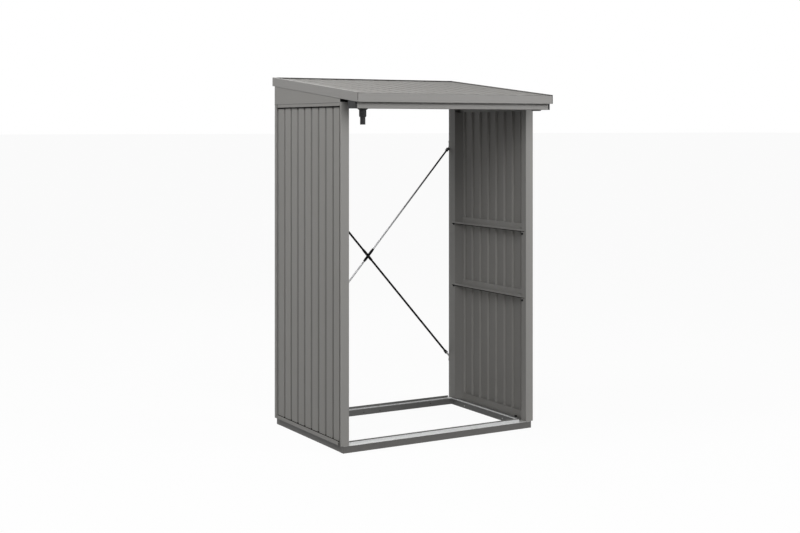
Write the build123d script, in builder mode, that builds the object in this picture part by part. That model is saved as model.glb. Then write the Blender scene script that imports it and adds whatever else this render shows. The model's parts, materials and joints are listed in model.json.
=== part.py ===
from build123d import *
import os
from math import hypot

os.makedirs("parts", exist_ok=True)

# Open log store of folded steel sheet. X runs along the front, Y towards the back, Z up.
# The origin is on the ground, under the middle of the roof's outline.

# Overall sizes, millimetres
roof_width = 1235.0
roof_depth = 1024.0
total_height = 1990.0
roof_rise = 107.0
fascia_height = 50.0
front_overhang = 184.6
back_overhang = 25.4
wall_inset = 2.1
base_inset = 16.0

# Sheet and bends
frame_sheet = 1.0
panel_sheet = 0.6
bend = 1.3
seam_turn = 12.0
gap = 0.3

# Planes worked out from the overall sizes
half_width = roof_width / 2
front = -roof_depth / 2
back = roof_depth / 2
wall_out = half_width - wall_inset
wall_front = front + front_overhang
wall_back = back - back_overhang
panel_out = wall_out - frame_sheet
slope = roof_rise / roof_depth


def roof_z(y):
    # top of the roof rim at this depth
    return total_height - (back - y) * slope


def section(points, sheet, radius=bend):
    # one bent strip: the points are its outer line, its thickness lies on their left
    start = Vector(*points[0])
    along = Vector(*points[1]) - start
    probe = start + along * 0.5 + along.normalized().rotate(Axis.Z, 90) * (sheet / 2)
    for side in (Side.LEFT, Side.RIGHT):
        with BuildSketch() as strip:
            with BuildLine():
                FilletPolyline(*points, radius=radius)
                offset(amount=sheet, side=side)
            make_face()
        if strip.sketch.face().is_inside(probe):
            return strip.sketch


def write(solid, name):
    solid.label = name
    export_step(solid, f"parts/{name}.step")


# Base frame: four folded rails on the ground
base_half = half_width - base_inset
base_front = wall_front - frame_sheet
base_back = wall_back - 0.6
front_rail_depth = 44.0
front_rail_inner = base_front + front_rail_depth
skirt_height = 36.0
sill_lip = 51.0
rail_width = 41.5
rail_flat = 34.0
rail_seat = 38.0
seat_width = 21.0
back_upstand = 47.0
upstand_hem = 3.0
side_rail_inner = base_half - rail_width
back_rail_inner = base_back - rail_width
end_plate_x = base_half - frame_sheet / 2
foot_turn = 7.0
anchor_radius = 4.5
anchor_x = 588.0
anchor_front_y = -198.0
anchor_back_y = 410.0

with BuildPart() as base_front_rail:
    with BuildSketch(Plane.YZ):
        add(section([(base_front, skirt_height), (base_front, 0),
                     (front_rail_inner, 0), (front_rail_inner, sill_lip)], frame_sheet))
    extrude(amount=base_half, both=True)
    # the inner lip drops under the two front posts
    with Locations((-base_half, front_rail_inner, sill_lip), (base_half, front_rail_inner, sill_lip)):
        Box(2 * rail_width, 4 * frame_sheet, 2 * (sill_lip - rail_seat), mode=Mode.SUBTRACT)
    # plates close both ends
    with Locations((-end_plate_x, base_front, 0), (end_plate_x, base_front, 0)):
        Box(frame_sheet, front_rail_depth, rail_seat, align=(Align.CENTER, Align.MIN, Align.MIN))
write(base_front_rail.part, "base_front_rail")

with BuildPart() as base_back_rail:
    with BuildSketch(Plane.YZ):
        add(section([(base_back - seam_turn, 0), (base_back, 0), (base_back, back_upstand),
                     (base_back - upstand_hem, back_upstand), (base_back - upstand_hem, rail_flat),
                     (back_rail_inner, rail_flat), (back_rail_inner, 0),
                     (back_rail_inner + seam_turn, 0)], frame_sheet))
    extrude(amount=base_half, both=True)
    # the upstand stops short of the two back posts
    with Locations((-base_half, base_back, back_upstand), (base_half, base_back, back_upstand)):
        Box(2 * rail_width, 4 * upstand_hem, 2 * (back_upstand - rail_seat), mode=Mode.SUBTRACT)
    with Locations((-end_plate_x, base_back, 0), (end_plate_x, base_back, 0)):
        Box(frame_sheet, rail_width, rail_seat, align=(Align.CENTER, Align.MAX, Align.MIN))
write(base_back_rail.part, "base_back_rail")

side_rail_length = back_rail_inner - front_rail_inner
side_rail_middle = (back_rail_inner + front_rail_inner) / 2
with BuildPart() as base_side_rail:
    with BuildSketch(Plane.XZ.offset(-side_rail_middle)):
        add(section([(base_half - foot_turn, 0), (base_half, 0), (base_half, rail_seat),
                     (base_half - seat_width, rail_seat), (base_half - seat_width, rail_flat),
                     (side_rail_inner, rail_flat), (side_rail_inner, 0),
                     (side_rail_inner + seam_turn, 0)], frame_sheet))
    extrude(amount=side_rail_length / 2, both=True)
    # holes for ground anchors beside the foot of the wall, with nothing under them
    with Locations((anchor_x, anchor_front_y, rail_seat), (anchor_x, anchor_back_y, rail_seat)):
        Hole(anchor_radius, depth=4 * frame_sheet)

# Bright sill between the legs of the front rail, sloping up to the inner lip. It runs up to the
# left post, and at the right a slanting joint parts it from a longer corner piece.
sill_left = 567.0
sill_right = 520.0
joint_run = 31.0
sill_outer = base_front + frame_sheet
sill_inner = front_rail_inner - frame_sheet
sill_rise = 45.3
sill_flange = 14.0
corner_end = base_half - frame_sheet
joint = [(sill_right, sill_outer), (sill_right + joint_run, sill_inner)]
with BuildPart() as front_sill:
    with BuildSketch(Plane.YZ.offset(-sill_left)):
        add(section([(sill_inner, sill_rise - sill_flange), (sill_inner, sill_rise),
                     (sill_outer, skirt_height), (sill_outer, skirt_height - sill_flange)],
                    frame_sheet))
    extrude(amount=sill_left + sill_right + joint_run)
    with BuildSketch():
        with BuildLine():
            Polyline(*joint, (sill_right + joint_run, sill_outer), close=True)
        make_face()
    extrude(amount=sill_lip, mode=Mode.SUBTRACT)
write(front_sill.part, "front_sill")

corner_section = section([(sill_inner, rail_seat - sill_flange), (sill_inner, rail_seat),
                          (sill_outer, rail_seat), (sill_outer, rail_seat - sill_flange)],
                         frame_sheet)
with BuildPart() as base_corner_front_right:
    with BuildSketch(Plane.YZ.offset(sill_right)):
        add(corner_section)
    extrude(amount=corner_end - sill_right)
    with BuildSketch():
        with BuildLine():
            Polyline(*joint, (sill_right, sill_inner), close=True)
        make_face()
    extrude(amount=sill_lip, mode=Mode.SUBTRACT)
write(base_corner_front_right.part, "base_corner_front_right")

with BuildPart() as base_corner_front_left:
    with BuildSketch(Plane.YZ.offset(-corner_end)):
        add(corner_section)
    extrude(amount=corner_end - sill_left)
write(base_corner_front_left.part, "base_corner_front_left")

corner_plate_x = 545.0
corner_plate_back = base_back - upstand_hem - 1.5
corner_plate_round = 8.0
with BuildPart() as base_corner_back:
    with BuildSketch(Plane.XY.offset(rail_flat)) as plate:
        with BuildLine():
            Polyline((corner_plate_x, back_rail_inner), (corner_end, back_rail_inner),
                     (corner_end, corner_plate_back), (corner_plate_x, corner_plate_back),
                     close=True)
        make_face()
        fillet(plate.vertices().group_by(Axis.X)[0], radius=corner_plate_round)
    extrude(amount=rail_seat - rail_flat)

# Corner posts: folded tubes with a seam behind the wall panel
front_post_width = 48.4
front_post_depth = 45.0
front_post_top = 1836.0
post_strip = 10.0
post_seam = 5.0
seam_gap = 7.0
panel_seat = 598.0
front_post_x = wall_out - front_post_width
front_post_y = wall_front + front_post_depth
with BuildPart() as front_post:
    with BuildSketch(Plane.XY.offset(rail_seat)):
        add(section([(panel_seat, front_post_y - post_seam), (panel_seat, front_post_y),
                     (front_post_x, front_post_y), (front_post_x, wall_front),
                     (wall_out, wall_front), (wall_out, wall_front + post_strip),
                     (panel_seat, wall_front + post_strip),
                     (panel_seat, front_post_y - post_seam - seam_gap)], frame_sheet))
    extrude(amount=front_post_top - rail_seat)

back_post_x = 567.0
back_post_depth = 70.0
back_strip = 24.0
back_post_top = 1918.0
top_rail_top = 1832.0
back_post_y = wall_back - back_post_depth
back_strip_y = wall_back - back_strip
with BuildPart() as back_post:
    with BuildSketch(Plane.XY.offset(rail_seat)):
        add(section([(panel_seat, back_post_y + post_seam + seam_gap),
                     (panel_seat, back_strip_y), (wall_out, back_strip_y),
                     (wall_out, wall_back), (back_post_x, wall_back),
                     (back_post_x, back_post_y), (panel_seat, back_post_y),
                     (panel_seat, back_post_y + post_seam)], frame_sheet))
    extrude(amount=back_post_top - rail_seat)
    # the strip's outer face is cut away where the gable sheet takes over
    with Locations((panel_out, wall_back - back_strip / 2, top_rail_top)):
        Box(4 * frame_sheet, 2 * back_strip, 2 * (back_post_top - top_rail_top),
            align=(Align.MIN, Align.CENTER, Align.MIN), mode=Mode.SUBTRACT)

# Side wall: a ribbed sheet held between a bottom and a top channel
channel_inner = panel_seat - 0.4 - frame_sheet
bottom_lip = 59.0
bottom_leg = 82.0
top_lip = 1815.0
top_leg = 1794.0
panel_front = wall_front + 30.0
panel_back = back_strip_y - 12.0
panel_recess = 5.0
panel_face = panel_out - panel_recess
panel_bottom = rail_seat + frame_sheet + gap
panel_top = top_rail_top - frame_sheet - gap
panel_span = panel_back - panel_front
panel_middle = (panel_back + panel_front) / 2
groove_pitch = 84.65
groove_count = 8
groove_first = wall_front + 101.9
groove_mouth = 20.0
groove_floor = 9.0
wall_groove_depth = 11.0
groove_bend = 1.0
edge_turn = wall_groove_depth


def side_channel(points):
    # channel along the foot or head of a wall, its inner leg stopping at the posts
    with BuildPart() as channel:
        with BuildSketch(Plane.XZ.offset(-panel_middle)):
            add(section(points, frame_sheet))
        extrude(amount=panel_span / 2, both=True)
        leg = max(abs(points[0][1] - points[1][1]), abs(points[-1][1] - points[-2][1]))
        for end, reach in ((panel_front, front_post_y - panel_front),
                           (panel_back, panel_back - back_post_y)):
            with Locations((channel_inner, end, points[1][1])):
                Box(2 * (panel_seat - channel_inner), 2 * reach, 4 * leg, mode=Mode.SUBTRACT)
    return channel.part


bottom_rail = side_channel([(channel_inner, bottom_leg), (channel_inner, rail_seat),
                            (wall_out, rail_seat), (wall_out, bottom_lip)])
top_rail = side_channel([(wall_out, top_lip), (wall_out, top_rail_top),
                         (channel_inner, top_rail_top), (channel_inner, top_leg)])


def grooves(first, count, pitch, depth):
    # corner points of the grooves along a sheet: distance along it, depth below its face
    points = []
    for number in range(count):
        centre = first + number * pitch
        points += [(centre - groove_mouth / 2, 0), (centre - groove_floor / 2, depth),
                   (centre + groove_floor / 2, depth), (centre + groove_mouth / 2, 0)]
    return points


with BuildPart() as wall_panel:
    with BuildSketch(Plane.XY.offset(panel_bottom)):
        outline = [(panel_face - edge_turn, panel_front), (panel_face, panel_front)]
        outline += [(panel_face - deep, along)
                    for along, deep in grooves(groove_first, groove_count, groove_pitch,
                                               wall_groove_depth)]
        outline += [(panel_face, panel_back), (panel_face - edge_turn, panel_back)]
        add(section(outline, panel_sheet, radius=groove_bend))
    extrude(amount=panel_top - panel_bottom)

# Gable: plain sheet from the top channel up to the sloping fascia
gable_front = wall_front + post_strip
gable_flange = 16.0
with BuildPart() as gable:
    with BuildSketch(Plane.YZ.offset(panel_out)):
        with BuildLine():
            Polyline((gable_front, top_rail_top), (wall_back, top_rail_top),
                     (wall_back, roof_z(wall_back) - fascia_height),
                     (gable_front, roof_z(gable_front) - fascia_height), close=True)
        make_face()
    extrude(amount=frame_sheet)
    with Locations((panel_out, panel_middle, top_rail_top)):
        Box(gable_flange, panel_span, frame_sheet, align=(Align.MAX, Align.CENTER, Align.MIN))

# Two angle girts stiffen each wall inside, their lips lapped over the posts' inner faces
girt_leg = 40.0
girt_lip = 10.0
girt_lap = 30.0
girt_levels = {"lower_girt": 735.0, "upper_girt": 1113.0}
girt_face = panel_face - wall_groove_depth - panel_sheet
girt_lip_x = back_post_x - frame_sheet
girts = {}
for name, level in girt_levels.items():
    with BuildPart() as girt:
        with BuildSketch(Plane.XZ.offset(-(front_post_y + back_post_y) / 2)):
            add(section([(girt_lip_x, level + girt_lip), (girt_lip_x, level),
                         (girt_face, level), (girt_face, level + girt_leg)], frame_sheet))
        extrude(amount=(back_post_y - front_post_y) / 2, both=True)
        with Locations((girt_lip_x, front_post_y - girt_lap, level + bend)):
            Box(frame_sheet, back_post_y - front_post_y + 2 * girt_lap, girt_lip - bend,
                align=(Align.MIN, Align.MIN, Align.MIN))
    girts[name] = girt.part

# Headers carry the roof sheet across the opening
sheet_drop = 4.5
groove_depth = 16.0
sheet_low = sheet_drop + panel_sheet + groove_depth
front_header_y = wall_front + 17.0
header_depth = 40.0
back_header_y = wall_back - header_depth - 2.0
header_half = panel_seat - 2.0
header_ear = 14.0


def header(y, low):
    # folded channel, open towards the back, its top flange at the roof's slope
    with BuildPart() as beam:
        with BuildSketch(Plane.YZ):
            add(section([(y + header_depth, roof_z(y + header_depth) - sheet_low),
                         (y, roof_z(y) - sheet_low), (y, low), (y + header_depth, low)],
                        frame_sheet))
        extrude(amount=header_half, both=True)
        # ears close the gap over the post tops
        with Locations((0, y, low)):
            Box(2 * (panel_out - gap), frame_sheet, header_ear,
                align=(Align.CENTER, Align.MIN, Align.MIN))
    return beam.part


write(header(front_header_y, front_post_top), "front_header")
write(header(back_header_y, back_post_top), "back_header")

# Roof rim: four fascias round the sheet, which laps over the front one
rim_sheet = 1.0
rim_top_flange = 22.0
rim_low_flange = 16.0
drip_edge = 1.0
corner_joint = 1.6
rim_run = Vector(0, roof_depth, roof_rise)
with BuildPart() as roof_side_fascia:
    with BuildSketch(Plane.XZ.offset(-front)):
        add(section([(half_width - rim_low_flange, roof_z(front) - fascia_height),
                     (half_width, roof_z(front) - fascia_height), (half_width, roof_z(front)),
                     (half_width - rim_top_flange, roof_z(front))], rim_sheet))
    extrude(amount=rim_run.length, dir=rim_run)

rim_inner = half_width - rim_sheet
front_face = front + drip_edge
front_fascia_low = roof_z(front) - fascia_height
front_fascia_top = roof_z(front_face) - sheet_drop - panel_sheet
back_fascia_low = total_height - fascia_height


def cross_fascia(points, face, flanges):
    # front or back fascia between the side ones, its flanges cut back at the corners
    with BuildPart() as fascia:
        with BuildSketch(Plane.YZ):
            add(section(points, rim_sheet))
        extrude(amount=rim_inner - corner_joint, both=True)
        for level, flange in flanges:
            with Locations((-rim_inner, face, level), (rim_inner, face, level)):
                Box(2 * (flange - rim_sheet), 3 * rim_top_flange, 2 * bend, mode=Mode.SUBTRACT)
    return fascia.part


write(cross_fascia([(front_face, front_fascia_top), (front_face, front_fascia_low),
                    (front_face + rim_low_flange, front_fascia_low)], front_face,
                   [(front_fascia_low, rim_low_flange)]), "roof_front_fascia")
write(cross_fascia([(back - rim_low_flange, back_fascia_low), (back, back_fascia_low),
                    (back, total_height), (back - rim_top_flange, total_height)], back,
                   [(back_fascia_low, rim_low_flange), (total_height, rim_top_flange)]),
      "roof_back_fascia")

# Ribbed roof sheet under the rim's flanges, its edges turned up against the side fascias
roof_grooves = 14
roof_pitch = 87.2
roof_first = -roof_pitch * (roof_grooves - 1) / 2
sheet_half = rim_inner - panel_sheet
sheet_back = back - rim_sheet
notch_width = groove_mouth + 4.0
notch_depth = drip_edge + rim_sheet + gap
with BuildPart() as roof_sheet:
    with BuildSketch(Plane.XZ.offset(-front)):
        level = roof_z(front) - sheet_drop
        upstand = level + sheet_drop - rim_sheet - gap
        outline = [(sheet_half, upstand), (sheet_half, level)]
        outline += [(along, level - deep)
                    for along, deep in reversed(grooves(roof_first, roof_grooves, roof_pitch,
                                                        groove_depth))]
        outline += [(-sheet_half, level), (-sheet_half, upstand)]
        add(section(outline, panel_sheet, radius=groove_bend))
    sheet_run = Vector(0, sheet_back - front, (sheet_back - front) * slope)
    extrude(amount=sheet_run.length, dir=sheet_run)
    # each groove stops behind the front fascia, and the flats between lie on its edge
    with Locations([(roof_first + number * roof_pitch, front, level)
                    for number in range(roof_grooves)]):
        Box(notch_width, 2 * notch_depth, 4 * groove_depth, mode=Mode.SUBTRACT)
write(roof_sheet.part, "roof_sheet")

# Gutter under the front fascia, with an outlet at the left and a plug at the right
gutter_front = front + 27.7
gutter_back = front + 103.7
gutter_low = 1800.0
gutter_lip = 1827.0
gutter_lip_turn = 8.0
gutter_back_top = 1840.0
gutter_bend = 3.0
gutter_half = 604.4
gutter_cap = 12.6
cap_wall = 2.5
outlet_x = 551.0
outlet_y = (gutter_front + gutter_back) / 2
outlet_hole = 15.0
with BuildPart() as gutter:
    with BuildSketch(Plane.YZ):
        add(section([(gutter_front + gutter_lip_turn, gutter_lip), (gutter_front, gutter_lip),
                     (gutter_front, gutter_low), (gutter_back, gutter_low),
                     (gutter_back, gutter_back_top)], rim_sheet, radius=gutter_bend))
    extrude(amount=gutter_half, both=True)
    with Locations((-outlet_x, outlet_y, gutter_low), (outlet_x, outlet_y, gutter_low)):
        Hole(outlet_hole, depth=4 * rim_sheet)
write(gutter.part, "gutter")

with BuildPart() as gutter_end:
    with BuildSketch(Plane.YZ.offset(gutter_half)) as end:
        with BuildLine():
            Polyline((gutter_front, gutter_low), (gutter_back, gutter_low),
                     (gutter_back, roof_z(gutter_back) - fascia_height),
                     (gutter_front, roof_z(gutter_front) - fascia_height), close=True)
        make_face()
        fillet(end.vertices().group_by(Axis.Y)[0].sort_by(Axis.Z)[0], radius=gutter_bend)
    extrude(amount=gutter_cap)
    # a moulded cap, open towards the gutter
    offset(amount=-cap_wall, openings=gutter_end.faces().sort_by(Axis.X)[0])

spigot_radius = 13.8
spigot_bore = 12.3
outlet_flange = 27.0
collar_radius = 18.5
outlet_top = Vector(-outlet_x, outlet_y, gutter_low)
with BuildPart() as gutter_outlet:
    with BuildSketch(Plane(origin=outlet_top, x_dir=(1, 0, 0), z_dir=(0, -1, 0))):
        with BuildLine():
            Polyline((spigot_bore, 0), (outlet_flange, 0), (outlet_flange, -3), (22, -5),
                     (collar_radius, -9), (collar_radius, -40), (16, -44), (spigot_radius, -44),
                     (spigot_radius, -83), (spigot_bore, -83), close=True)
        make_face()
    revolve(axis=Axis(outlet_top, (0, 0, 1)))
write(gutter_outlet.part, "gutter_outlet")

plug_top = Vector(outlet_x, outlet_y, gutter_low)
plug_radius = outlet_hole - gap
with BuildPart() as gutter_plug:
    with BuildSketch(Plane(origin=plug_top, x_dir=(1, 0, 0), z_dir=(0, -1, 0))):
        with BuildLine():
            Polyline((0, 4), (plug_radius, 4), (plug_radius, 0), (outlet_flange, 0),
                     (outlet_flange, -4), (24, -6), (0, -6), close=True)
        make_face()
    revolve(axis=Axis(plug_top, (0, 0, 1)))
write(gutter_plug.part, "gutter_plug")

# Crossed tie rods behind the posts, each pinned by a fork to a tab on a post's back face
brace_middle = 939.8
brace_end_x = 557.5
brace_slope = 1.1272
brace_y = {"rising": wall_back - 1.1, "falling": wall_back + 15.4}
rod_radius = 5.3
fork_width = 14.0
fork_slot = 6.0
fork_reach = 6.0
fork_root = 8.0
fork_back = 15.0
sleeve_radius = 8.0
sleeve_length = 84.0
sleeve_clearance = 0.04
pin_radius = 4.0
brace_end_rise = brace_end_x * brace_slope
rod_length = hypot(brace_end_x, brace_end_rise)

for name, side in (("rising", 1), ("falling", -1)):
    along = Vector(side * brace_end_x, 0, brace_end_rise).normalized()
    middle = Vector(0, brace_y[name], brace_middle)
    across = Plane(origin=middle, x_dir=(0, 1, 0), z_dir=along)
    with BuildPart() as rod:
        with BuildSketch(across):
            Circle(rod_radius)
        extrude(amount=rod_length - fork_back, both=True)
        for way in (1, -1):
            pin = middle + along * (way * rod_length)
            with BuildSketch(Plane(origin=pin - along * (way * fork_back), x_dir=(0, 1, 0),
                                   z_dir=along * way)):
                Rectangle(fork_width, fork_width)
            extrude(amount=fork_back + fork_reach)
            with BuildSketch(Plane(origin=pin - along * (way * fork_root), x_dir=(0, 1, 0),
                                   z_dir=along * way)):
                Rectangle(2 * fork_width, fork_slot)
            extrude(amount=2 * fork_root, mode=Mode.SUBTRACT)
            with BuildSketch(Plane(origin=pin, x_dir=(0, 1, 0),
                                   z_dir=along.rotate(Axis.Y, 90))):
                Circle(pin_radius + sleeve_clearance)
            extrude(amount=fork_width, both=True, mode=Mode.SUBTRACT)
    write(rod.part, f"brace_rod_{name}")
    with BuildPart() as sleeve:
        with BuildSketch(across):
            Circle(sleeve_radius)
        extrude(amount=sleeve_length / 2, both=True)
        chamfer(sleeve.edges().filter_by(GeomType.CIRCLE), length=6, length2=2)
        with BuildSketch(across):
            Circle(rod_radius + sleeve_clearance)
        extrude(amount=sleeve_length, both=True, mode=Mode.SUBTRACT)
    write(sleeve.part, f"brace_sleeve_{name}")

# A bracket on each back post: a plate on its back face, a tab in line with the rod, the pin
bracket_height = 50.0
bracket_width = 30.0
bracket_plate = 2.0
tab_sheet = 4.0
tab_width = 14.0
tab_reach = 46.0
brackets = {"right_upper": ("rising", 1, 1), "left_lower": ("rising", -1, -1),
            "left_upper": ("falling", -1, 1), "right_lower": ("falling", 1, -1)}
for name, (rod_name, side, level) in brackets.items():
    rod_y = brace_y[rod_name]
    pin = Vector(side * brace_end_x, rod_y, brace_middle + level * brace_end_rise)
    along = Vector(side * brace_end_x, 0, level * brace_end_rise).normalized()
    tab_plane = Plane(origin=pin, x_dir=along, z_dir=along.cross(Vector(0, 1, 0)))
    with BuildPart() as bracket:
        with BuildSketch(tab_plane):
            Circle(tab_width / 2)
            Rectangle(tab_reach, tab_width, align=(Align.MIN, Align.CENTER))
            with Locations((tab_reach, wall_back - rod_y)):
                Rectangle(tab_reach / 2, rod_y + tab_width / 2 - wall_back,
                          align=(Align.MAX, Align.MIN))
        extrude(amount=tab_sheet / 2, both=True)
        with BuildSketch(tab_plane):
            Circle(pin_radius)
        extrude(amount=fork_width / 2 + 1, both=True)
        # room for the post
        with Locations((side * back_post_x, wall_back, pin.Z)):
            Box(4 * tab_reach, 4 * tab_reach, 4 * tab_reach, mode=Mode.SUBTRACT,
                align=(Align.MIN if side > 0 else Align.MAX, Align.MAX, Align.CENTER))
        plate_inset = back_post_x + bracket_width / 2 - brace_end_x
        with Locations((side * (back_post_x + bracket_width / 2), wall_back,
                        pin.Z + level * plate_inset * brace_slope)):
            Box(bracket_width, bracket_plate, bracket_height,
                align=(Align.CENTER, Align.MIN, Align.CENTER))
    write(bracket.part, f"brace_bracket_{name}")

# Every piece of the right side has a mirrored twin on the left
right_pieces = {
    "base_{}_rail": base_side_rail.part,
    "base_corner_back_{}": base_corner_back.part,
    "{}_front_post": front_post.part,
    "{}_back_post": back_post.part,
    "{}_bottom_rail": bottom_rail,
    "{}_top_rail": top_rail,
    "{}_wall_panel": wall_panel.part,
    "{}_gable": gable.part,
    "{}_lower_girt": girts["lower_girt"],
    "{}_upper_girt": girts["upper_girt"],
    "roof_{}_fascia": roof_side_fascia.part,
    "gutter_{}_cap": gutter_end.part,
}
for pattern, piece in right_pieces.items():
    write(piece, pattern.format("right"))
    with BuildPart() as twin:
        mirror(piece, about=Plane.YZ)
    write(twin.part, pattern.format("left"))
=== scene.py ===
import json
import math
import bpy
import bmesh
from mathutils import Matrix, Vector


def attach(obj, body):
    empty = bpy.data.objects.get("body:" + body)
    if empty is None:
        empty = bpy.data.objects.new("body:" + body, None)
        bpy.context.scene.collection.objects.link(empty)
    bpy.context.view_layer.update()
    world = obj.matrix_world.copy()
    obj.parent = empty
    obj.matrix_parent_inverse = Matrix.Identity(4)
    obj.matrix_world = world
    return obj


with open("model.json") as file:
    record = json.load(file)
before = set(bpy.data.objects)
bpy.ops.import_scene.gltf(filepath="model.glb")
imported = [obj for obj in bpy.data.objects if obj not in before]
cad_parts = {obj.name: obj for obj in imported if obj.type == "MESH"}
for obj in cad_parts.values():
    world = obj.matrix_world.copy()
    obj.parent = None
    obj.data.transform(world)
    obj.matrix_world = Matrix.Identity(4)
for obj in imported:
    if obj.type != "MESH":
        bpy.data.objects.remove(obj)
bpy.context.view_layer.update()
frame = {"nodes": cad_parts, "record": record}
parts = frame["nodes"]
print("store loaded:", len(parts), "parts")


# Camera at the photo's angle, level, with the horizon high in the picture
view = {"lens": 60.14, "place": (-3.8669, -6.4948, 1.7048), "turn": -30.33, "shift": -0.1744}
cameraData = bpy.data.cameras.new("storeCamera")
cameraData.lens = view["lens"]
cameraData.sensor_width = 36.0
cameraData.shift_y = view["shift"]
camera = bpy.data.objects.new("storeCamera", cameraData)
camera.location = view["place"]
camera.rotation_euler = (math.radians(90), 0, math.radians(view["turn"]))
bpy.context.scene.collection.objects.link(camera)
bpy.context.scene.camera = camera

# Studio: a pale floor, four broad soft lamps and a plain room with a low glow in front
studio = {
    "frontLamp": {"at": (-2.2, -3.6, 4.6), "aim": (0, 0, 1.0), "size": 3.0, "power": 105},
    "rightLamp": {"at": (3.4, -4.4, 3.2), "aim": (0, 0, 1.0), "size": 2.4, "power": 107},
    "leftLamp": {"at": (-4.2, 0.2, 6.2), "aim": (-0.6, 0, 1.0), "size": 2.0, "power": 185},
    "backLamp": {"at": (0.8, 4.8, 3.8), "aim": (0, 0, 1.0), "size": 3.0, "power": 30},
    "roomTone": 0.12,
    "frontGlow": 1.1,
    "floorTone": 0.18,
    "floorGlow": 0.95,
    "floorReach": 300.0,
    "floorDrop": 0.0005,
}
for name in ("frontLamp", "rightLamp", "leftLamp", "backLamp"):
    lamp = bpy.data.lights.new(name, "AREA")
    lamp.shape = "SQUARE"
    lamp.size = studio[name]["size"]
    lamp.energy = studio[name]["power"]
    holder = bpy.data.objects.new(name, lamp)
    holder.location = studio[name]["at"]
    reach = Vector(studio[name]["at"]) - Vector(studio[name]["aim"])
    holder.rotation_euler = reach.to_track_quat("Z", "Y").to_euler()
    holder.visible_camera = False
    bpy.context.scene.collection.objects.link(holder)

# The camera and the reflections see the room white
room = bpy.data.worlds.new("studioRoom")
bpy.context.scene.world = room
room.use_nodes = True
tree = room.node_tree
background = tree.nodes["Background"]
background.inputs["Color"].default_value = (1, 1, 1, 1)
heading = tree.nodes.new("ShaderNodeTexCoord")
split = tree.nodes.new("ShaderNodeSeparateXYZ")
tree.links.new(heading.outputs["Generated"], split.inputs[0])
low = tree.nodes.new("ShaderNodeMapRange")  # the glow stays near the horizon
low.inputs["From Min"].default_value = 0.25
low.inputs["From Max"].default_value = 0.45
low.inputs["To Min"].default_value = studio["frontGlow"]
low.inputs["To Max"].default_value = 0.0
tree.links.new(split.outputs["Z"], low.inputs["Value"])
ahead = tree.nodes.new("ShaderNodeMapRange")  # and on the camera's side of the store
ahead.inputs["From Min"].default_value = -0.45
ahead.inputs["From Max"].default_value = -0.20
ahead.inputs["To Min"].default_value = 1.0
ahead.inputs["To Max"].default_value = 0.0
tree.links.new(split.outputs["Y"], ahead.inputs["Value"])
both = tree.nodes.new("ShaderNodeMath")
both.operation = "MULTIPLY_ADD"
tree.links.new(low.outputs["Result"], both.inputs[0])
tree.links.new(ahead.outputs["Result"], both.inputs[1])
both.inputs[2].default_value = studio["roomTone"]
rays = tree.nodes.new("ShaderNodeLightPath")
seen = tree.nodes.new("ShaderNodeMath")
seen.operation = "MAXIMUM"
tree.links.new(rays.outputs["Is Camera Ray"], seen.inputs[0])
tree.links.new(rays.outputs["Is Glossy Ray"], seen.inputs[1])
clear = tree.nodes.new("ShaderNodeMath")
clear.operation = "MAXIMUM"
tree.links.new(seen.outputs[0], clear.inputs[0])
tree.links.new(rays.outputs["Is Transmission Ray"], clear.inputs[1])
level = tree.nodes.new("ShaderNodeMapRange")
tree.links.new(both.outputs[0], level.inputs["To Min"])
level.inputs["To Max"].default_value = 1.0
tree.links.new(clear.outputs[0], level.inputs["Value"])
tree.links.new(level.outputs["Result"], background.inputs["Strength"])

bpy.context.scene.view_settings.view_transform = "Standard"


def addFloor():
    # one wide sheet under the store
    mesh = bpy.data.meshes.new("studioFloor")
    reach = studio["floorReach"]
    corners = [(-reach, -reach, 0), (reach, -reach, 0), (reach, reach, 0), (-reach, reach, 0)]
    mesh.from_pydata(corners, [], [(0, 1, 2, 3)])
    floor = bpy.data.objects.new("studioFloor", mesh)
    floor.location.z = -studio["floorDrop"]
    bpy.context.scene.collection.objects.link(floor)
    material = bpy.data.materials.new("paleFloor")
    material.use_nodes = True
    nodes = material.node_tree.nodes
    links = material.node_tree.links
    nodes.clear()
    out = nodes.new("ShaderNodeOutputMaterial")
    matt = nodes.new("ShaderNodeBsdfDiffuse")
    tone = studio["floorTone"]
    matt.inputs["Color"].default_value = (tone, tone, tone, 1)
    pale = nodes.new("ShaderNodeBsdfDiffuse")
    pale.inputs["Color"].default_value = (0.9, 0.9, 0.9, 1)
    glow = nodes.new("ShaderNodeEmission")
    share = nodes.new("ShaderNodeMixShader")  # what the camera sees: pale, mostly glowing
    share.inputs["Fac"].default_value = studio["floorGlow"]
    links.new(pale.outputs[0], share.inputs[1])
    links.new(glow.outputs[0], share.inputs[2])
    pick = nodes.new("ShaderNodeMixShader")
    path = nodes.new("ShaderNodeLightPath")
    either = nodes.new("ShaderNodeMath")
    either.operation = "MAXIMUM"
    links.new(path.outputs["Is Camera Ray"], either.inputs[0])
    links.new(path.outputs["Is Glossy Ray"], either.inputs[1])
    links.new(either.outputs[0], pick.inputs["Fac"])
    links.new(matt.outputs[0], pick.inputs[1])
    links.new(share.outputs[0], pick.inputs[2])
    links.new(pick.outputs[0], out.inputs["Surface"])
    mesh.materials.append(material)


addFloor()
print("studio ready")


# Shader groups shared by the finishes

def newGroup(name, inputs, outputs):
    group = bpy.data.node_groups.new(name, "ShaderNodeTree")
    for label, kind, value in inputs:
        socket = group.interface.new_socket(label, in_out="INPUT", socket_type=kind)
        if value is not None:
            socket.default_value = value
    for label, kind in outputs:
        group.interface.new_socket(label, in_out="OUTPUT", socket_type=kind)
    return group, group.nodes.new("NodeGroupInput"), group.nodes.new("NodeGroupOutput")


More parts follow.
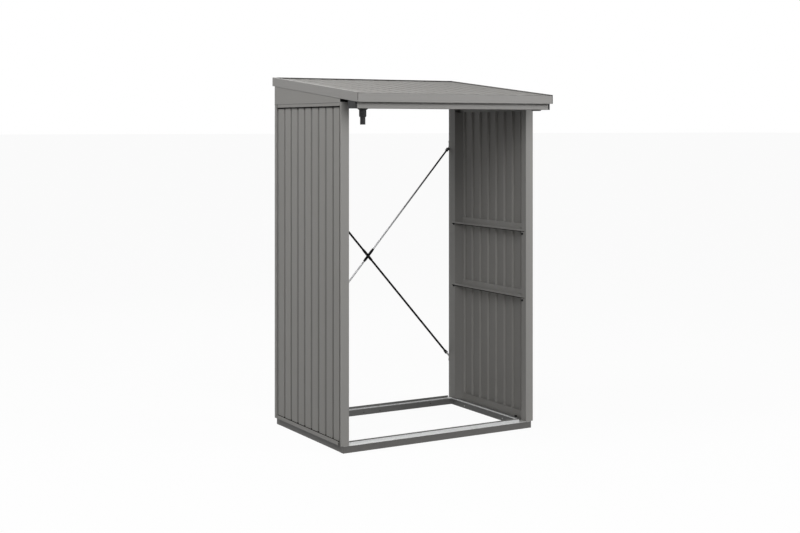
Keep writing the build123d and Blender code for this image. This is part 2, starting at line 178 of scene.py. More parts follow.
def put(tree, kind, settings=None, **links):
    # one node with its settings, its sockets linked or set by name
    node = tree.nodes.new(kind)
    for key, value in (settings or {}).items():
        setattr(node, key, value)
    for key, value in links.items():
        socket = node.inputs[int(key[1:])] if key[1:].isdigit() else node.inputs[key]
        if isinstance(value, bpy.types.NodeSocket):
            tree.links.new(value, socket)
        else:
            socket.default_value = value
    return node


def calc(tree, operation, a, b=0.0):
    return put(tree, "ShaderNodeMath", {"operation": operation}, _0=a, _1=b).outputs[0]


def spread(tree, value, low, high, toLow, toHigh):
    node = put(tree, "ShaderNodeMapRange", Value=value)
    for key, number in (("From Min", low), ("From Max", high), ("To Min", toLow), ("To Max", toHigh)):
        node.inputs[key].default_value = number
    return node.outputs["Result"]


def makePowderCoat():
    # baked powder coat: soft clouding, fine metallic flake and a faint peel
    group, given, out = newGroup(
        "powderCoat",
        [("Clouding", "NodeSocketFloat", 0.05), ("Flake", "NodeSocketFloat", 0.12),
         ("Peel", "NodeSocketFloat", 1.0)],
        [("Tone", "NodeSocketFloat"), ("Height", "NodeSocketFloat"), ("Sheen", "NodeSocketFloat")])
    where = put(group, "ShaderNodeTexCoord").outputs["Object"]
    cloud = put(group, "ShaderNodeTexNoise", Vector=where, Scale=3.2, Detail=3.0, Roughness=0.5)
    fleck = put(group, "ShaderNodeTexVoronoi", Vector=where, Scale=1500.0)
    bright = put(group, "ShaderNodeSeparateColor", Color=fleck.outputs["Color"])
    grit = calc(group, "SUBTRACT", bright.outputs[0], 0.5)
    haze = calc(group, "SUBTRACT", cloud.outputs[0], 0.5)
    tone = calc(group, "ADD", calc(group, "MULTIPLY", haze, given.outputs["Clouding"]),
                calc(group, "MULTIPLY", grit, given.outputs["Flake"]))
    group.links.new(calc(group, "ADD", tone, 1.0), out.inputs["Tone"])
    peel = put(group, "ShaderNodeTexNoise", Vector=where, Scale=420.0, Detail=2.0, Roughness=0.45)
    group.links.new(calc(group, "MULTIPLY", peel.outputs[0], given.outputs["Peel"]),
                    out.inputs["Height"])
    shine = calc(group, "ADD", calc(group, "MULTIPLY", haze, 0.18),
                 calc(group, "MULTIPLY", grit, 0.10))
    group.links.new(shine, out.inputs["Sheen"])
    return group


def makePaintedEdgeHighlight():
    # folded edges painted paler as a highlight, broken up by noise
    group, given, out = newGroup(
        "paintedEdgeHighlight",
        [("Width", "NodeSocketFloat", 0.0012), ("Amount", "NodeSocketFloat", 0.5)],
        [("Edge Highlight", "NodeSocketFloat"), ("Normal", "NodeSocketVector")])
    rounded = put(group, "ShaderNodeBevel", {"samples": 4}, Radius=given.outputs["Width"])
    flat = put(group, "ShaderNodeNewGeometry")
    same = put(group, "ShaderNodeVectorMath", {"operation": "DOT_PRODUCT"},
               _0=rounded.outputs[0], _1=flat.outputs["True Normal"])
    turned = spread(group, same.outputs["Value"], 0.99, 0.75, 0.0, 1.0)
    where = put(group, "ShaderNodeTexCoord").outputs["Object"]
    broken = put(group, "ShaderNodeTexNoise", Vector=where, Scale=38.0, Detail=4.0, Roughness=0.6)
    patch = spread(group, broken.outputs[0], 0.38, 0.62, 0.0, 1.0)
    edgeHighlight = calc(group, "MULTIPLY", calc(group, "MULTIPLY", turned, patch), given.outputs["Amount"])
    group.links.new(edgeHighlight, out.inputs["Edge Highlight"])
    group.links.new(rounded.outputs[0], out.inputs["Normal"])
    return group


def makeYardDust():
    # dust that settles on level faces and splashes up from the ground
    group, given, out = newGroup(
        "yardDust",
        [("Settled", "NodeSocketFloat", 0.2), ("Splash", "NodeSocketFloat", 0.3),
         ("Splash Height", "NodeSocketFloat", 0.16)],
        [("Dust", "NodeSocketFloat")])
    where = put(group, "ShaderNodeTexCoord").outputs["Object"]
    facing = put(group, "ShaderNodeNewGeometry").outputs["Normal"]
    up = put(group, "ShaderNodeSeparateXYZ", Vector=facing).outputs["Z"]
    height = put(group, "ShaderNodeSeparateXYZ", Vector=where).outputs["Z"]
    drift = put(group, "ShaderNodeTexNoise", Vector=where, Scale=9.0, Detail=5.0, Roughness=0.62)
    grain = put(group, "ShaderNodeTexNoise", Vector=where, Scale=160.0, Detail=2.0, Roughness=0.5)
    patchy = calc(group, "MULTIPLY", spread(group, drift.outputs[0], 0.3, 0.7, 0.3, 1.0),
                  spread(group, grain.outputs[0], 0.35, 0.65, 0.6, 1.0))
    level = calc(group, "MULTIPLY", spread(group, up, 0.6, 1.0, 0.0, 1.0), given.outputs["Settled"])
    low = put(group, "ShaderNodeMapRange", {"interpolation_type": "SMOOTHSTEP"}, Value=height,
              _1=given.outputs["Splash Height"], _2=0.0, _3=0.0, _4=1.0)
    splash = calc(group, "MULTIPLY", low.outputs["Result"], given.outputs["Splash"])
    dust = calc(group, "MULTIPLY", calc(group, "ADD", level, splash), patchy)
    group.links.new(dust, out.inputs["Dust"])
    return group


def makeZincBloom():
    # hot dip zinc: cells of frozen crystals, each with its own brightness
    group, given, out = newGroup(
        "zincBloom",
        [("Cell", "NodeSocketFloat", 0.007), ("Contrast", "NodeSocketFloat", 0.25)],
        [("Tone", "NodeSocketFloat"), ("Sheen", "NodeSocketFloat"), ("Height", "NodeSocketFloat")])
    where = put(group, "ShaderNodeTexCoord").outputs["Object"]
    wobble = put(group, "ShaderNodeTexNoise", Vector=where, Scale=60.0, Detail=2.0, Roughness=0.5)
    bent = put(group, "ShaderNodeVectorMath", {"operation": "MULTIPLY_ADD"},
               _0=wobble.outputs["Color"], _1=(0.006, 0.006, 0.006), _2=where)
    size = calc(group, "DIVIDE", 1.0, given.outputs["Cell"])
    cells = put(group, "ShaderNodeTexVoronoi", Vector=bent.outputs[0], Scale=size)
    split = put(group, "ShaderNodeSeparateColor", Color=cells.outputs["Color"])
    grain = calc(group, "SUBTRACT", split.outputs[0], 0.5)
    tone = calc(group, "ADD", calc(group, "MULTIPLY", grain, given.outputs["Contrast"]), 1.0)
    group.links.new(tone, out.inputs["Tone"])
    group.links.new(calc(group, "MULTIPLY", split.outputs[1], 0.3), out.inputs["Sheen"])
    group.links.new(cells.outputs["Distance"], out.inputs["Height"])
    return group


def makeGroovePaintedShade():
    # the outside of each wall groove, darkened as painted shade in the hollow
    group, given, out = newGroup(
        "groovePaintedShade",
        [("Face", "NodeSocketFloat", 0.6090), ("Floor", "NodeSocketFloat", 0.6020)],
        [("Shade", "NodeSocketFloat")])
    where = put(group, "ShaderNodeTexCoord").outputs["Object"]
    across = put(group, "ShaderNodeSeparateXYZ", Vector=where).outputs["X"]
    flat = put(group, "ShaderNodeNewGeometry").outputs["True Normal"]
    facing = put(group, "ShaderNodeSeparateXYZ", Vector=flat).outputs["X"]
    outward = calc(group, "GREATER_THAN", calc(group, "MULTIPLY", across, facing), 0.0)
    deep = put(group, "ShaderNodeMapRange", Value=calc(group, "ABSOLUTE", across),
               _1=given.outputs["Face"], _2=given.outputs["Floor"], _3=0.0, _4=1.0)
    shade = calc(group, "MULTIPLY", deep.outputs["Result"], outward)
    group.links.new(shade, out.inputs["Shade"])
    return group


powderCoat = makePowderCoat()
groovePaintedShade = makeGroovePaintedShade()
paintedEdgeHighlight = makePaintedEdgeHighlight()
yardDust = makeYardDust()
zincBloom = makeZincBloom()


def startFinish(name):
    material = bpy.data.materials.new(name)
    material.use_nodes = True
    return material, material.node_tree, material.node_tree.nodes["Principled BSDF"]


def place(tree, group, **values):
    node = tree.nodes.new("ShaderNodeGroup")
    node.node_tree = group
    for key, value in values.items():
        node.inputs[key.replace("_", " ")].default_value = value
    return node


def tinted(tree, colour, tone):
    # the colour times a varying tone
    node = put(tree, "ShaderNodeVectorMath", {"operation": "SCALE"}, _0=colour[:3])
    tree.links.new(tone, node.inputs["Scale"])
    return node.outputs[0]


def blended(tree, amount, first, second):
    node = tree.nodes.new("ShaderNodeMix")
    node.data_type = "RGBA"
    tree.links.new(amount, node.inputs[0])
    for slotNumber, value in ((6, first), (7, second)):
        if isinstance(value, bpy.types.NodeSocket):
            tree.links.new(value, node.inputs[slotNumber])
        else:
            node.inputs[slotNumber].default_value = (*value[:3], 1)
    return node.outputs[2]


def bumped(tree, height, strength, distance, normal=None):
    node = put(tree, "ShaderNodeBump", Height=height, Strength=strength, Distance=distance)
    if normal is not None:
        tree.links.new(normal, node.inputs["Normal"])
    return node.outputs[0]


dustColour = (0.36, 0.33, 0.29)

# Grooves of the wall panels, in mm from the store's middle: the first one's middle along the
# wall, and how far out their painted shade starts and is full
wallGrooves = {"first": -225.5, "pitch": 84.65, "count": 8, "shadeFrom": 609.0, "shadeFull": 605.0}


def paintedSteel(name, look):
    material, tree, shader = startFinish(name)
    coat = place(tree, powderCoat, Clouding=look["clouding"], Flake=look["flake"], Peel=1.0)
    edgeHighlight = place(tree, paintedEdgeHighlight, Width=look["edge"], Amount=look["edgeHighlight"])
    dust = place(tree, yardDust, Settled=look["settled"], Splash=look["splash"],
                 Splash_Height=look["splashHeight"])
    tone = coat.outputs["Tone"]
    # painted shade: the outer faces inside the wall grooves are darkened
    if look["groove"]:
        shade = place(tree, groovePaintedShade, Face=wallGrooves["shadeFrom"] * 0.001,
                      Floor=wallGrooves["shadeFull"] * 0.001)
        tone = calc(tree, "MULTIPLY", tone, spread(tree, shade.outputs["Shade"], 0.0, 1.0, 1.0,
                                                   1.0 - look["groove"]))
    base = tinted(tree, look["colour"], tone)
    # edges paler: painted highlight
    paler = blended(tree, edgeHighlight.outputs["Edge Highlight"], base, [1.35 * c for c in look["colour"]])
    dusty = blended(tree, dust.outputs["Dust"], paler, dustColour)
    tree.links.new(dusty, shader.inputs["Base Color"])
    sheen = calc(tree, "ADD", coat.outputs["Sheen"], look["roughness"])
    rough = calc(tree, "ADD", sheen, calc(tree, "MULTIPLY", dust.outputs["Dust"], 0.35))
    tree.links.new(rough, shader.inputs["Roughness"])
    tree.links.new(bumped(tree, coat.outputs["Height"], 0.10, 0.0004, edgeHighlight.outputs["Normal"]),
                   shader.inputs["Normal"])
    shader.inputs["Metallic"].default_value = look["metallic"]
    shader.inputs["Specular IOR Level"].default_value = look["specular"]
    return material


def zincSteel(name, look):
    material, tree, shader = startFinish(name)
    bloom = place(tree, zincBloom, Cell=look["cell"], Contrast=look["contrast"])
    edgeHighlight = place(tree, paintedEdgeHighlight, Width=0.0008, Amount=0.3)
    dust = place(tree, yardDust, Settled=look["settled"], Splash=0.0, Splash_Height=0.1)
    base = tinted(tree, look["colour"], bloom.outputs["Tone"])
    # edges paler: painted highlight
    paler = blended(tree, edgeHighlight.outputs["Edge Highlight"], base, [min(1.0, 1.15 * c) for c in look["colour"]])
    dusty = blended(tree, dust.outputs["Dust"], paler, dustColour)
    tree.links.new(dusty, shader.inputs["Base Color"])
    rough = calc(tree, "ADD", bloom.outputs["Sheen"], look["roughness"])
    tree.links.new(rough, shader.inputs["Roughness"])
    tree.links.new(bumped(tree, bloom.outputs["Height"], 0.05, 0.0003, edgeHighlight.outputs["Normal"]),
                   shader.inputs["Normal"])
    shader.inputs["Metallic"].default_value = look["metallic"]
    return material


def drawnRod(name, look):
    # bright drawn bar: fine lengthwise drag marks, a little clouding, and a painted dark reflection
    # towards its top
    material, tree, shader = startFinish(name)
    where = put(tree, "ShaderNodeTexCoord").outputs["Object"]
    drag = put(tree, "ShaderNodeTexNoise", Vector=where, Scale=900.0, Detail=3.0, Roughness=0.6)
    haze = put(tree, "ShaderNodeTexNoise", Vector=where, Scale=24.0, Detail=3.0, Roughness=0.5)
    edgeHighlight = place(tree, paintedEdgeHighlight, Width=0.0006, Amount=0.4)
    tone = calc(tree, "ADD", spread(tree, drag.outputs[0], 0.3, 0.7, -0.08, 0.08),
                spread(tree, haze.outputs[0], 0.3, 0.7, 0.92, 1.06))
    height = put(tree, "ShaderNodeSeparateXYZ", Vector=where).outputs["Z"]
    paintedDarkReflection = spread(tree, height, 1.12, 1.50, 1.0, look["highTone"])  # painted dark reflection: the rod darkens upwards
    tone = calc(tree, "MULTIPLY", tone, paintedDarkReflection)
    base = tinted(tree, look["colour"], tone)
    # edges paler: painted highlight, fading with the painted dark reflection
    paler = blended(tree, calc(tree, "MULTIPLY", edgeHighlight.outputs["Edge Highlight"], paintedDarkReflection), base,
                    [min(1.0, 1.3 * c) for c in look["colour"]])
    tree.links.new(paler, shader.inputs["Base Color"])
    tree.links.new(spread(tree, haze.outputs[0], 0.3, 0.7, look["roughness"] - 0.05,
                          look["roughness"] + 0.08), shader.inputs["Roughness"])
    tree.links.new(bumped(tree, drag.outputs[0], 0.05, 0.0002, edgeHighlight.outputs["Normal"]),
                   shader.inputs["Normal"])
    shader.inputs["Metallic"].default_value = look["metallic"]
    shader.inputs["Specular IOR Level"].default_value = look["specular"]
    return material


def mouldedPlastic(name, look):
    # black moulded plastic with a fine eroded skin
    material, tree, shader = startFinish(name)
    where = put(tree, "ShaderNodeTexCoord").outputs["Object"]
    skin = put(tree, "ShaderNodeTexNoise", Vector=where, Scale=1300.0, Detail=2.0, Roughness=0.5)
    flow = put(tree, "ShaderNodeTexNoise", Vector=where, Scale=30.0, Detail=2.0, Roughness=0.5)
    edgeHighlight = place(tree, paintedEdgeHighlight, Width=0.0012, Amount=0.6)
    dust = place(tree, yardDust, Settled=0.15, Splash=0.0, Splash_Height=0.1)
    tone = spread(tree, flow.outputs[0], 0.3, 0.7, 0.85, 1.15)
    base = tinted(tree, look["colour"], tone)
    # edges paler: painted highlight
    paler = blended(tree, edgeHighlight.outputs["Edge Highlight"], base, [2.2 * c for c in look["colour"]])
    dusty = blended(tree, dust.outputs["Dust"], paler, dustColour)
    tree.links.new(dusty, shader.inputs["Base Color"])
    tree.links.new(spread(tree, skin.outputs[0], 0.3, 0.7, look["roughness"] - 0.06,
                          look["roughness"] + 0.10), shader.inputs["Roughness"])
    tree.links.new(bumped(tree, skin.outputs[0], 0.12, 0.0003, edgeHighlight.outputs["Normal"]),
                   shader.inputs["Normal"])
    shader.inputs["Specular IOR Level"].default_value = look["specular"]
    return material


# groove sets how dark the painted shade in the wall grooves is
paintLooks = {
    "wallPaint": {"colour": (0.266, 0.260, 0.247), "roughness": 0.52, "metallic": 0.0,
                  "specular": 0.35, "clouding": 0.05, "flake": 0.10, "edge": 0.0012, "edgeHighlight": 0.25,
                  "settled": 0.10, "splash": 0.10, "splashHeight": 0.22, "groove": 0.26},
    "postPaint": {"colour": (0.284, 0.278, 0.267), "roughness": 0.50, "metallic": 0.0,
                  "specular": 0.35, "clouding": 0.05, "flake": 0.10, "edge": 0.0014, "edgeHighlight": 0.30,
                  "settled": 0.10, "splash": 0.10, "splashHeight": 0.22, "groove": 0.0},
    "roofPaint": {"colour": (0.285, 0.278, 0.268), "roughness": 0.48, "metallic": 0.0,
                  "specular": 0.35, "clouding": 0.05, "flake": 0.10, "edge": 0.0012, "edgeHighlight": 0.30,
                  "settled": 0.18, "splash": 0.0, "splashHeight": 0.10, "groove": 0.0},
    "sheetPaint": {"colour": (0.278, 0.272, 0.262), "roughness": 0.66, "metallic": 0.0,
                   "specular": 0.12, "clouding": 0.05, "flake": 0.08, "edge": 0.0010, "edgeHighlight": 0.15,
                   "settled": 0.16, "splash": 0.0, "splashHeight": 0.10, "groove": 0.0},
    # a paler copy of the wall paint: painted light on the girts
    "girtLitPaint": {"colour": (0.320, 0.313, 0.300), "roughness": 0.52, "metallic": 0.0,
                  "specular": 0.35, "clouding": 0.05, "flake": 0.10, "edge": 0.0012, "edgeHighlight": 0.10,
                  "settled": 0.10, "splash": 0.0, "splashHeight": 0.10, "groove": 0.0},
    # a darker copy of the wall paint: painted shade in the back corners
    "cornerShadedPaint": {"colour": (0.235, 0.230, 0.220), "roughness": 0.55, "metallic": 0.0,
                    "specular": 0.30, "clouding": 0.05, "flake": 0.08, "edge": 0.0010, "edgeHighlight": 0.05,
                    "settled": 0.0, "splash": 0.06, "splashHeight": 0.22, "groove": 0.0},
    # a paler copy of the base paint on the rails seen from inside: painted light
    "railLitPaint": {"colour": (0.154, 0.155, 0.153), "roughness": 0.50, "metallic": 0.0,
                  "specular": 0.35, "clouding": 0.06, "flake": 0.10, "edge": 0.0012, "edgeHighlight": 0.35,
                  "settled": 0.12, "splash": 0.14, "splashHeight": 0.06, "groove": 0.0},
    "basePaint": {"colour": (0.120, 0.118, 0.115), "roughness": 0.50, "metallic": 0.0,
                  "specular": 0.35, "clouding": 0.06, "flake": 0.10, "edge": 0.0012, "edgeHighlight": 0.45,
                  "settled": 0.12, "splash": 0.14, "splashHeight": 0.06, "groove": 0.0},
}
finishes = {name: paintedSteel(name, look) for name, look in paintLooks.items()}
finishes["bareZinc"] = zincSteel("bareZinc", {
    "colour": (0.90, 0.91, 0.91), "cell": 0.007, "contrast": 0.10, "roughness": 0.36,
    "metallic": 0.10, "settled": 0.04})
finishes["dullZinc"] = zincSteel("dullZinc", {
    "colour": (0.44, 0.44, 0.43), "cell": 0.006, "contrast": 0.20, "roughness": 0.45,
    "metallic": 0.10, "settled": 0.10})
# highTone is how dark the painted reflection leaves the rod's top
finishes["brightRod"] = drawnRod("brightRod", {
    "colour": (0.46, 0.46, 0.47), "roughness": 0.42, "metallic": 0.95, "specular": 0.3,
    "highTone": 0.02})
finishes["darkSteel"] = drawnRod("darkSteel", {
    "colour": (0.016, 0.016, 0.017), "roughness": 0.62, "metallic": 0.0, "specular": 0.04,
    "highTone": 1.0})
finishes["blackPlastic"] = mouldedPlastic("blackPlastic", {
    "colour": (0.012, 0.012, 0.013), "roughness": 0.52, "specular": 0.30})
# black foam, also used for black strips set as painted shade under lips, girts and eaves
finishes["blackFoamAndPaintedShade"] = mouldedPlastic("blackFoamAndPaintedShade", {
    "colour": (0.006, 0.006, 0.006), "roughness": 0.85, "specular": 0.05})

finishOfSlot = {"wall_paint": "wallPaint", "post_paint": "postPaint", "roof_paint": "roofPaint",
                "base_steel": "basePaint", "bare_zinc": "bareZinc", "bright_steel": "brightRod",
                "dark_steel": "darkSteel", "black_plastic": "blackPlastic"}
finishOfPart = {"roof_sheet": "sheetPaint", "base_corner_front_left": "dullZinc",
                "base_corner_front_right": "dullZinc", "base_back_rail": "railLitPaint",
                "base_right_rail": "railLitPaint", "left_lower_girt": "girtLitPaint",
                "left_upper_girt": "girtLitPaint", "right_lower_girt": "girtLitPaint",
                "right_upper_girt": "girtLitPaint", "brace_bracket_left_lower": "dullZinc",
                "brace_bracket_left_upper": "dullZinc", "brace_bracket_right_lower": "dullZinc",
                "brace_bracket_right_upper": "dullZinc"}
for entry in frame["record"]["subparts"]:
    solid = parts[entry["node"]]
    finish = finishOfPart.get(entry["node"], finishOfSlot[entry["material_slot"]])
    solid.data.materials.clear()
    solid.data.materials.append(finishes[finish])
print("finishes on", len(parts), "parts")


# Fittings: small turned pieces, set out in rows by one tree of nodes

def ringAt(radius, height, shape, count):
    # one ring in mm: round, ribbed, or a hexagon of this half width across its flats
    ring = []
    for step in range(count):
        angle = 2 * math.pi * step / count
        reach = radius
        if shape == "hex":
            reach = radius / math.cos((angle + math.pi / 6) % (math.pi / 3) - math.pi / 6)
        elif shape == "ribbed" and step % 4 > 1:
            reach = radius - 0.6
        ring.append(Vector((reach * math.cos(angle), reach * math.sin(angle), height)) * 0.001)
    return ring


def turned(name, rings, bored=False, count=12):
    # a closed piece from its rings, seat first; a bored one joins its last ring to its first
    build = bmesh.new()
    loops = [[build.verts.new(point) for point in ringAt(*ring, count)] for ring in rings]
    pairs = list(zip(loops, loops[1:]))
    if bored:
        pairs.append((loops[-1], loops[0]))
    else:
        build.faces.new(reversed(loops[0]))
        build.faces.new(loops[-1])
    for lower, upper in pairs:
        for step in range(count):
            after = (step + 1) % count
            build.faces.new((lower[step], lower[after], upper[after], upper[step]))
    bmesh.ops.recalc_face_normals(build, faces=build.faces)
    mesh = bpy.data.meshes.new(name)
    build.to_mesh(mesh)
    build.free()
    return bpy.data.objects.new(name, mesh)


def rowTree(name, inputs):
    tree = bpy.data.node_groups.new(name, "GeometryNodeTree")
    tree.interface.new_socket("Geometry", in_out="INPUT", socket_type="NodeSocketGeometry")
    for label, kind in inputs:
        tree.interface.new_socket(label, in_out="INPUT", socket_type=kind)
    tree.interface.new_socket("Geometry", in_out="OUTPUT", socket_type="NodeSocketGeometry")
    return tree, tree.nodes.new("NodeGroupInput"), tree.nodes.new("NodeGroupOutput")


def makeFastenerRows():
    # a head on every point, its seat on the surface, spun at random about its own axis
    tree, given, out = rowTree("fastenerRows", [
        ("Head", "NodeSocketObject"), ("Size", "NodeSocketFloat"), ("Spin", "NodeSocketFloat"),
        ("Seed", "NodeSocketInt"), ("Finish", "NodeSocketMaterial")])
    facing = put(tree, "GeometryNodeInputNamedAttribute", {"data_type": "FLOAT_VECTOR"},
                 Name="facing")
    upright = put(tree, "FunctionNodeAlignRotationToVector", {"axis": "Z"},
                  Vector=facing.outputs[0])
    spin = put(tree, "FunctionNodeRandomValue", {"data_type": "FLOAT"})
    tree.links.new(given.outputs["Spin"], spin.inputs[3])
    tree.links.new(given.outputs["Seed"], spin.inputs["Seed"])
    about = put(tree, "FunctionNodeAxisAngleToRotation", Axis=(0, 0, 1), Angle=spin.outputs[1])
    turnedHead = put(tree, "FunctionNodeRotateRotation", {"rotation_space": "LOCAL"},
                     _0=upright.outputs[0], _1=about.outputs[0])
    head = put(tree, "GeometryNodeObjectInfo", Object=given.outputs["Head"])
    head.inputs["As Instance"].default_value = True
    heads = put(tree, "GeometryNodeInstanceOnPoints", Points=given.outputs["Geometry"],
                Instance=head.outputs["Geometry"], Rotation=turnedHead.outputs[0],
                Scale=given.outputs["Size"])
    real = put(tree, "GeometryNodeRealizeInstances", Geometry=heads.outputs[0])
    finished = put(tree, "GeometryNodeSetMaterial", Geometry=real.outputs[0],
                   Material=given.outputs["Finish"])
    tree.links.new(finished.outputs[0], out.inputs["Geometry"])
    return tree


def makeRolledThread():
    # a rolled thread: a ridge wound round the bar
    tree, given, out = rowTree("rolledThread", [
        ("Radius", "NodeSocketFloat"), ("Pitch", "NodeSocketFloat"), ("Turns", "NodeSocketFloat"),
        ("Depth", "NodeSocketFloat"), ("Finish", "NodeSocketMaterial")])
    rise = calc(tree, "MULTIPLY", given.outputs["Pitch"], given.outputs["Turns"])
    winding = put(tree, "GeometryNodeCurveSpiral", Resolution=16, Rotations=given.outputs["Turns"],
                  **{"Start Radius": given.outputs["Radius"], "End Radius": given.outputs["Radius"],
                     "Height": rise})
    ridge = put(tree, "GeometryNodeCurvePrimitiveCircle", Resolution=3, Radius=given.outputs["Depth"])
    wound = put(tree, "GeometryNodeCurveToMesh", Curve=winding.outputs[0],
                **{"Profile Curve": ridge.outputs[0], "Fill Caps": True})
    real = put(tree, "GeometryNodeRealizeInstances", Geometry=wound.outputs[0])
    finished = put(tree, "GeometryNodeSetMaterial", Geometry=real.outputs[0],
                   Material=given.outputs["Finish"])
    tree.links.new(finished.outputs[0], out.inputs["Geometry"])
    return tree


def grown(holder, tree, values):
    # the tree's result as the holder's own plain mesh
    modifier = holder.modifiers.new(tree.name, "NODES")
    modifier.node_group = tree
    for item in tree.interface.items_tree:
        if item.in_out == "INPUT" and item.name in values:
            modifier[item.identifier] = values[item.name]
    bpy.context.scene.collection.objects.link(holder)
    ready = holder.evaluated_get(bpy.context.evaluated_depsgraph_get())
    mesh = bpy.data.meshes.new_from_object(ready)
    holder.modifiers.remove(modifier)
    holder.data = mesh
    return holder


def keep(piece):
    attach(piece, "root")
    return piece


fastenerRows = makeFastenerRows()
rolledThread = makeRolledThread()


def fasten(name, head, places, finish, spin=6.28):
    # one piece from all the heads of a kind; each place is a point in mm and the way it faces
    points = bpy.data.meshes.new(name)
    points.from_pydata([point * 0.001 for point, way in places], [], [])
    facing = points.attributes.new("facing", "FLOAT_VECTOR", "POINT")
    for number, (point, way) in enumerate(places):
        facing.data[number].vector = way
    holder = bpy.data.objects.new(name, points)
    grown(holder, fastenerRows, {"Head": head, "Size": 1.0, "Spin": spin, "Seed": len(name),
                                 "Finish": finishes[finish]})
    return keep(holder)


def row(start, end, count, facing):
    # evenly spaced places on a line, its ends included
    start, end = Vector(start), Vector(end)
    return [(start.lerp(end, step / max(1, count - 1)), Vector(facing)) for step in range(count)]


def mirrored(places):
    # the same places on the left side
    flip = Vector((-1, 1, 1))
    return places + [(point * flip, way * flip) for point, way in places]


def cut(build, axis, outline, start, end):
    # a length of one section in mm, its outline in the two other directions in order
    spots = {"x": lambda a, b, c: (c, a, b), "y": lambda a, b, c: (a, c, b),
             "z": lambda a, b, c: (a, b, c)}
    near, far = [[build.verts.new(Vector(spots[axis](a, b, c)) * 0.001) for a, b in outline]
                 for c in (start, end)]
    build.faces.new(near)
    build.faces.new(reversed(far))
    for step in range(len(outline)):
        after = (step + 1) % len(outline)
        build.faces.new((near[after], near[step], far[step], far[after]))


def strips(name, runs, finish, both=False, ease=0.12):
    # thin folded and cut strips as one piece, with eased edges; both repeats them on the left
    build = bmesh.new()
    for axis, outline, start, end in runs:
        cut(build, axis, outline, start, end)
        if both and axis == "x":
            cut(build, axis, outline, -end, -start)
        elif both:
            cut(build, axis, [(-a, b) for a, b in outline], start, end)
    bmesh.ops.bevel(build, geom=build.edges[:], offset=ease * 0.001, segments=1, affect="EDGES")
    bmesh.ops.recalc_face_normals(build, faces=build.faces)
    mesh = bpy.data.meshes.new(name)
    build.to_mesh(mesh)
    build.free()
    piece = bpy.data.objects.new(name, mesh)
    bpy.context.scene.collection.objects.link(piece)
    mesh.materials.append(finishes[finish])
    return keep(piece)


# The roof's top face, in mm: its height at the back, the back's distance, and its fall
roof = {"high": 1990.0, "back": 512.0, "fall": 107.0 / 1024.0}
roofUp = Vector((0, -roof["fall"], 1)).normalized()


def roofAt(y, drop=0.0):
    return roof["high"] - (roof["back"] - y) * roof["fall"] - drop


# Wall head: a black strip under the top channel's lip as painted shadow, a bead over its joint
# with the gable, and a small plate that laps the lip onto the front post
wallHead = {
    "seal": [(609.4, 1808.8), (613.4, 1808.8), (614.2, 1810.0), (614.2, 1815.0),
             (612.5, 1816.5), (609.4, 1816.5)],
    "sealFrom": -299.0, "sealTo": 450.0,
    "bead": [(615.4, 1831.0), (616.3, 1831.3), (616.3, 1832.8), (615.4, 1833.6)],
    "beadFrom": -317.0, "beadTo": 486.0,
    "plate": [(615.4, -316.0), (616.1, -316.0), (616.1, -292.0), (615.4, -292.0)],
    "plateLow": 1815.2, "plateHigh": 1830.6,
}
# the black strip under the lip stands in as painted shadow
strips("wall_head_seal", [("y", wallHead["seal"], wallHead["sealFrom"], wallHead["sealTo"])],
       "blackFoamAndPaintedShade", both=True)
strips("wall_head_bead", [("y", wallHead["bead"], wallHead["beadFrom"], wallHead["beadTo"])],
       "basePaint", both=True)
strips("wall_head_plate", [("z", wallHead["plate"], wallHead["plateLow"], wallHead["plateHigh"])],
       "wallPaint", both=True)

# Wall foot: a thin seal in the bottom channel, with a plug in the end of each groove
wallFoot = {
    "seal": [(609.5, 56.0), (614.6, 56.0), (614.6, 59.4), (613.4, 61.0), (610.2, 61.0),
             (609.5, 60.4)],
    "sealFrom": -297.0, "sealTo": 450.0,
    "plugIn": 598.8, "plugOut": 609.6, "plugFloor": 4.0, "plugMouth": 8.6,
    "plugLow": 56.5, "plugHigh": 62.5,
}
footRuns = [("y", wallFoot["seal"], wallFoot["sealFrom"], wallFoot["sealTo"])]
for number in range(wallGrooves["count"]):
    middle = wallGrooves["first"] + wallGrooves["pitch"] * number
    plug = [(wallFoot["plugIn"], middle - wallFoot["plugFloor"]),
            (wallFoot["plugOut"], middle - wallFoot["plugMouth"]),
            (wallFoot["plugOut"], middle + wallFoot["plugMouth"]),
            (wallFoot["plugIn"], middle + wallFoot["plugFloor"])]
    footRuns.append(("z", plug, wallFoot["plugLow"], wallFoot["plugHigh"]))
strips("wall_foot_seal", footRuns, "blackFoamAndPaintedShade", both=True)

# Black foam closure on top of each front post, closing the gap, its black also painted shade under
# the eaves: one part up to the roof sheet, one to the side fascia
closure = {"front": -326.4, "back": -311.0, "foot": 1836.0,
           "underSheet": (21.6, 568.0, 601.0), "underFascia": (50.2, 601.4, 614.0)}
closureRuns = []
for drop, inner, outer in (closure["underSheet"], closure["underFascia"]):
    side = [(closure["front"], closure["foot"]), (closure["back"], closure["foot"]),
            (closure["back"], roofAt(closure["back"], drop)),
            (closure["front"], roofAt(closure["front"], drop))]
    closureRuns.append(("x", side, inner, outer))
strips("eaves_closure", closureRuns, "blackFoamAndPaintedShade", both=True)

# Apron hooked over the gutter's lip
apron = {"outline": [(-484.2, 1827.1), (-483.2, 1827.1), (-483.2, 1837.0), (-480.0, 1839.4),
                     (-480.6, 1840.2), (-484.2, 1837.5)], "reach": 603.0}
strips("gutter_apron", [("x", apron["outline"], -apron["reach"], apron["reach"])],
       "roofPaint")

